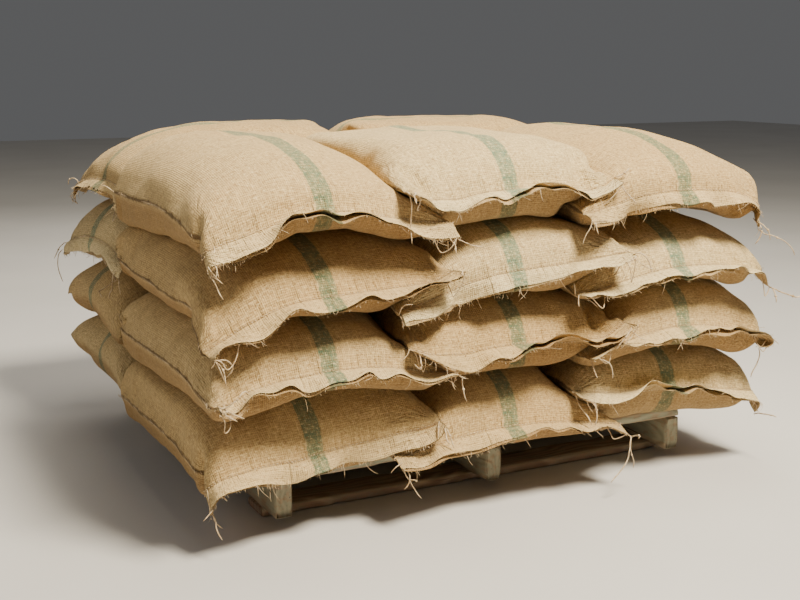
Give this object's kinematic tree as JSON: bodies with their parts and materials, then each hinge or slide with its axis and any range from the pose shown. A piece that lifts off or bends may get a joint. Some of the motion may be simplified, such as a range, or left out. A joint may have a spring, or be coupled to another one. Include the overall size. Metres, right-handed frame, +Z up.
{
  "type": "pallet of sacks",
  "caption": "Square timber pallet stacked with layers of filled jute sacks, laid side by side with their sewn mouths facing out and others lying across behind them.",
  "frame": {"origin": "floor level, under the middle of the whole load", "axes": "+Z up; -Y towards the side where the three sewn mouths of each layer face out; +X to the right as seen from there, along the deck boards"},
  "size_m": [1.5424, 1.4574, 0.8669],
  "materials": {
    "jute_cloth": "coarse open weave, matt",
    "pallet_timber": "rough sawn, weathered, with traces of paint"
  },
  "bodies": {
    "root": {"sack_1_front_left": "jute_cloth", "sack_1_front_middle": "jute_cloth", "sack_1_front_right": "jute_cloth", "sack_1_back_left": "jute_cloth", "sack_1_back_right": "jute_cloth", "sack_2_front_left": "jute_cloth", "sack_2_front_middle": "jute_cloth", "sack_2_front_right": "jute_cloth", "sack_2_back_left": "jute_cloth", "sack_2_back_right": "jute_cloth", "sack_3_front_left": "jute_cloth", "sack_3_front_middle": "jute_cloth", "sack_3_front_right": "jute_cloth", "sack_3_back_left": "jute_cloth", "sack_3_back_right": "jute_cloth", "sack_4_front_left": "jute_cloth", "sack_4_front_middle": "jute_cloth", "sack_4_front_right": "jute_cloth", "sack_4_back_left": "jute_cloth", "sack_4_back_right": "jute_cloth", "stringer_left": "pallet_timber", "stringer_centre": "pallet_timber", "stringer_right": "pallet_timber", "deck_board_1": "pallet_timber", "deck_board_2": "pallet_timber", "deck_board_3": "pallet_timber", "deck_board_4": "pallet_timber", "deck_board_5": "pallet_timber", "deck_board_6": "pallet_timber", "base_board_front": "pallet_timber", "base_board_middle": "pallet_timber", "base_board_back": "pallet_timber"}
  },
  "joints": []
}
